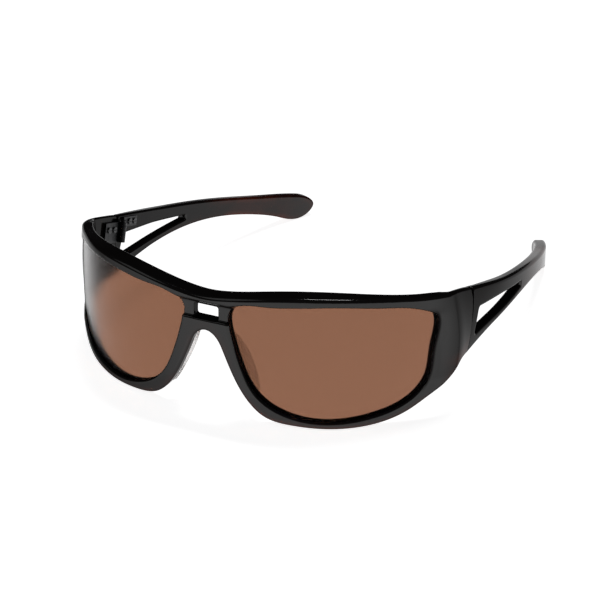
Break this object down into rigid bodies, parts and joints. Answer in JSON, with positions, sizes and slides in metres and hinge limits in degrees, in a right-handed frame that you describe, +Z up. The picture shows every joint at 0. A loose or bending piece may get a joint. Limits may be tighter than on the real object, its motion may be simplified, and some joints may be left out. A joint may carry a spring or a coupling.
{
  "type": "wraparound sunglasses",
  "caption": "Full-rim wraparound mountain sunglasses with brown polarised lenses, a windowed bridge and folding temples with long openings.",
  "frame": {"origin": "on the table under the middle of the overall box", "axes": "+X to the wearer's left, +Y backwards along the open temples, +Z up; the glasses look along -Y"},
  "size_m": [0.1382, 0.1682, 0.0457],
  "materials": {
    "frame_nylon": "high gloss near-black nylon, dark red-brown where thin",
    "temple_nylon": "high gloss near-black nylon, dark red-brown towards the tip",
    "lens_hard_coat": "clear hard coat over brown",
    "polarising_film": "thin polarising film",
    "lens_tint": "copper-brown tint, see-through",
    "nose_pad": "smoky translucent silicone, satin",
    "hinge_metal": "black coated, satin",
    "screw_metal": "blackened"
  },
  "bodies": {
    "front": {"front_frame": "frame_nylon", "left_lens_outer_layer": "lens_hard_coat", "left_polarising_film": "polarising_film", "left_lens_inner_layer": "lens_tint", "left_nose_pad": "nose_pad", "left_front_hinge_leaf": "hinge_metal", "left_hinge_screw": "screw_metal", "left_front_leaf_screws": "screw_metal", "right_lens_outer_layer": "lens_hard_coat", "right_polarising_film": "polarising_film", "right_lens_inner_layer": "lens_tint", "right_nose_pad": "nose_pad", "right_front_hinge_leaf": "hinge_metal", "right_hinge_screw": "screw_metal", "right_front_leaf_screws": "screw_metal"},
    "left_temple_arm": {"left_temple": "temple_nylon", "left_temple_hinge_leaf": "hinge_metal", "left_temple_leaf_screws": "screw_metal"},
    "right_temple_arm": {"right_temple": "temple_nylon", "right_temple_hinge_leaf": "hinge_metal", "right_temple_leaf_screws": "screw_metal"}
  },
  "joints": [
    {"name": "left_temple_fold", "type": "hinge", "parent": "front", "child": "left_temple_arm", "pos_m": [0.0631, -0.0289, 0.0305], "axis": [0, 0.2756, 0.9613], "range_deg": [0, 90]},
    {"name": "right_temple_fold", "type": "hinge", "parent": "front", "child": "right_temple_arm", "pos_m": [-0.0631, -0.0289, 0.0305], "axis": [0, -0.2756, -0.9613], "range_deg": [0, 77]}
  ]
}
